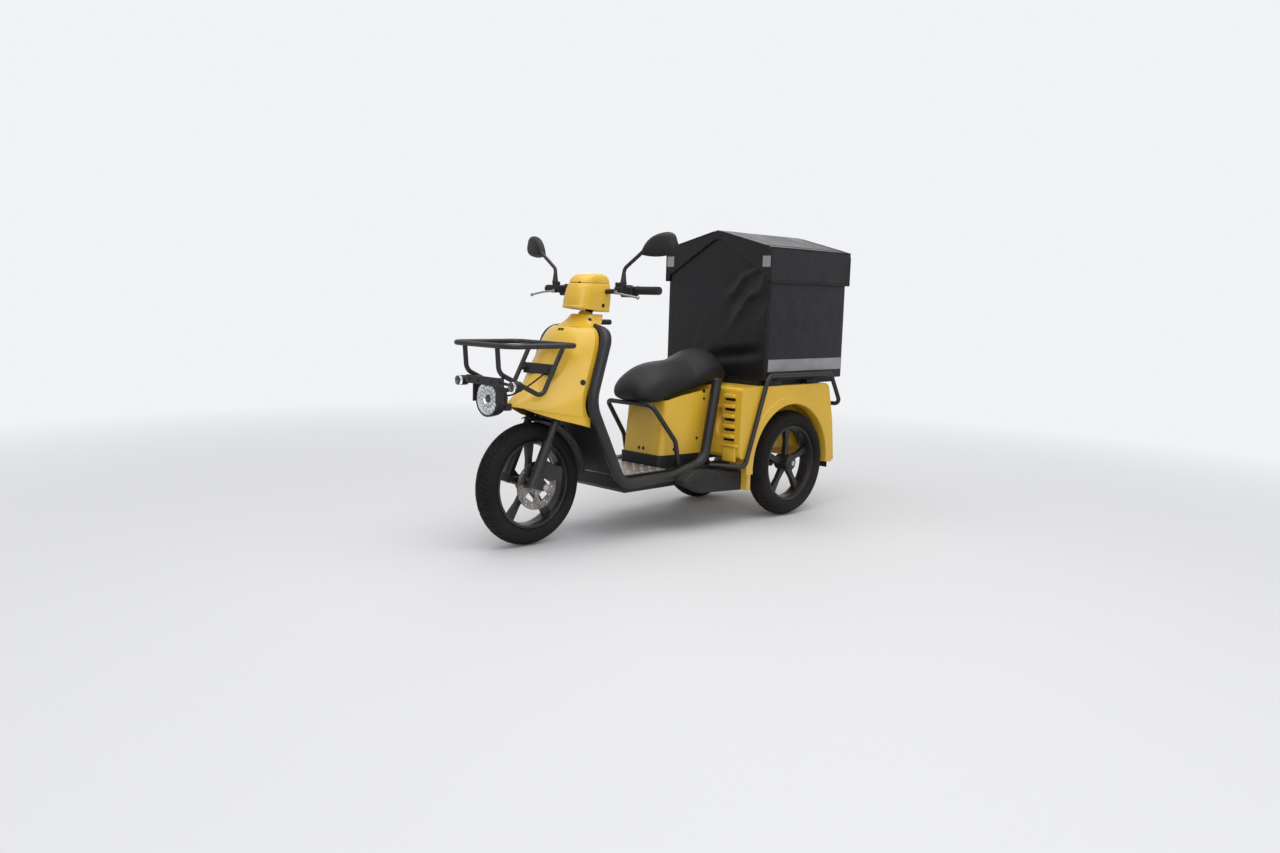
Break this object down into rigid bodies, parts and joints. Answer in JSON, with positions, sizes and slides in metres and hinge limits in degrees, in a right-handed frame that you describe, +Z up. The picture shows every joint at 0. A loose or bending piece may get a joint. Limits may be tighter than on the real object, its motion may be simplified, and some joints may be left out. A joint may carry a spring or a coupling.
{
  "type": "three-wheeled electric delivery scooter",
  "caption": "Open electric delivery scooter on three wheels, with a leg shield and front rack, a saddle over the battery and a lidded fabric cargo box over the rear axle.",
  "frame": {"origin": "on the floor, below the middle of the vehicle's overall length, in the middle plane", "axes": "forward is -Y, the rider's left is +X, up is +Z"},
  "size_m": [0.9636, 2.0993, 1.4129],
  "materials": {
    "yellow_body": "moulded yellow body panel, satin gloss",
    "tyre_rubber": "black road tyre",
    "black_wheel": "satin black cast wheel",
    "disc_steel": "ground steel",
    "black_frame": "black powder-coated steel",
    "black_plastic": "black moulded plastic",
    "grey_plastic": "dark grey moulded plastic",
    "plate_aluminium": "bright chequer plate, scuffed",
    "lever_aluminium": "cast lever",
    "grip_rubber": "soft grip",
    "saddle_vinyl": "charcoal vinyl",
    "box_fabric": "black coated fabric",
    "lamp_glass": "clear lens",
    "tail_lens": "red lens",
    "battery_case": "plain case"
  },
  "bodies": {
    "chassis": {"bag_peg": "black_plastic", "battery_block": "battery_case", "cargo_box": "box_fabric", "cargo_tray": "black_plastic", "floor_pan": "black_plastic", "footboard": "plate_aluminium", "footrest_pods": "grey_plastic", "front_rack": "black_frame", "guard_rail": "black_frame", "headlamp_bucket": "black_plastic", "headlamp_lens": "lamp_glass", "indicator_lenses": "lamp_glass", "indicators": "black_plastic", "inner_panel": "black_plastic", "lamp_bracket": "black_frame", "leg_shield": "yellow_body", "main_frame": "black_frame", "neck": "yellow_body", "rack_brackets": "black_frame", "rear_axle": "black_frame", "rear_body": "yellow_body", "saddle": "saddle_vinyl", "seat_body": "yellow_body", "seat_hoop": "black_frame", "tail_lamps": "tail_lens"},
    "steering": {"fork": "black_frame", "steering_stem": "black_frame", "front_axle": "disc_steel", "brake_caliper": "black_frame", "front_mudguard": "black_plastic", "handlebar": "black_frame", "grips": "grip_rubber", "control_housings": "black_plastic", "brake_levers": "lever_aluminium", "mirror_stems": "black_frame", "mirror_heads": "black_plastic", "cowl_mask": "yellow_body", "cowl_cap": "yellow_body"},
    "front_wheel": {"front_tyre": "tyre_rubber", "front_rim": "black_wheel", "brake_disc": "disc_steel"},
    "rear_wheel_left": {"rear_tyre_left": "tyre_rubber", "rear_rim_left": "black_wheel"},
    "rear_wheel_right": {"rear_tyre_right": "tyre_rubber", "rear_rim_right": "black_wheel"},
    "cargo_lid": {"cargo_lid": "box_fabric"}
  },
  "joints": [
    {"name": "steering_turn", "type": "hinge", "parent": "chassis", "child": "steering", "pos_m": [0, -0.78964, 0.27113], "axis": [0, 0.4226, 0.9063], "range_deg": [-40, 40]},
    {"name": "front_wheel_spin", "type": "hinge", "parent": "steering", "child": "front_wheel", "pos_m": [0, -0.7765, 0.265], "axis": [1, 0, 0], "continuous": true},
    {"name": "rear_left_spin", "type": "hinge", "parent": "chassis", "child": "rear_wheel_left", "pos_m": [0.285, 0.6495, 0.265], "axis": [1, 0, 0], "continuous": true},
    {"name": "rear_right_spin", "type": "hinge", "parent": "chassis", "child": "rear_wheel_right", "pos_m": [-0.285, 0.6495, 0.265], "axis": [1, 0, 0], "continuous": true},
    {"name": "lid_hinge", "type": "hinge", "parent": "chassis", "child": "cargo_lid", "pos_m": [-0.345, 0, 1.16], "axis": [0, -1, 0], "range_deg": [0, 105]}
  ]
}
